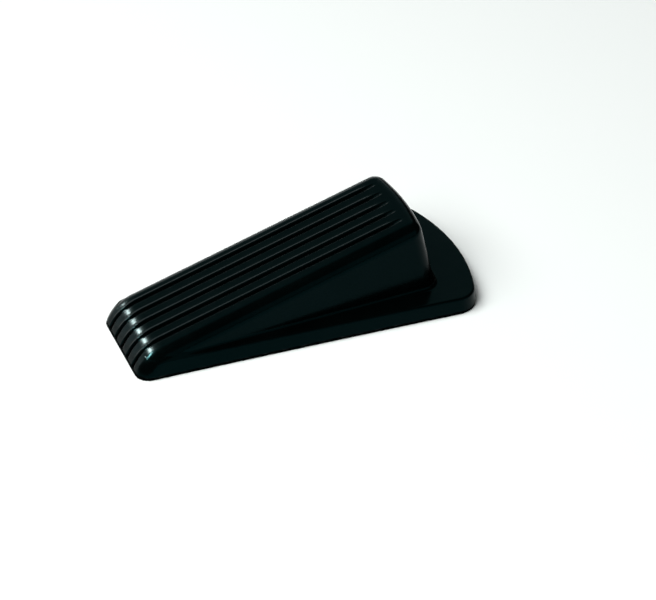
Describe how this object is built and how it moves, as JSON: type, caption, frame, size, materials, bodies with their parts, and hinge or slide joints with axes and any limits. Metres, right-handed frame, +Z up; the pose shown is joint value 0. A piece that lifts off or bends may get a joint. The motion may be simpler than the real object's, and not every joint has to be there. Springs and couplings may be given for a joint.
{
  "type": "door stop wedge",
  "caption": "Rubber door stop: a ribbed ramp tower with a rounded nose on a low foot that flares to an arched heel. The cored inside and the separate treaded sole are inferred.",
  "frame": {"origin": "middle of the underside, on the floor: the bottom centre of the bounding box", "axes": "+X along the length from the thin nose to the heel, +Y across the wedge, +Z up"},
  "size_m": [0.121, 0.0564, 0.0321],
  "materials": {
    "body_rubber": "semi-gloss moulded black rubber",
    "sole_rubber": "matte soft black rubber"
  },
  "bodies": {
    "root": {"wedge_body": "body_rubber", "grip_sole": "sole_rubber"}
  },
  "joints": []
}
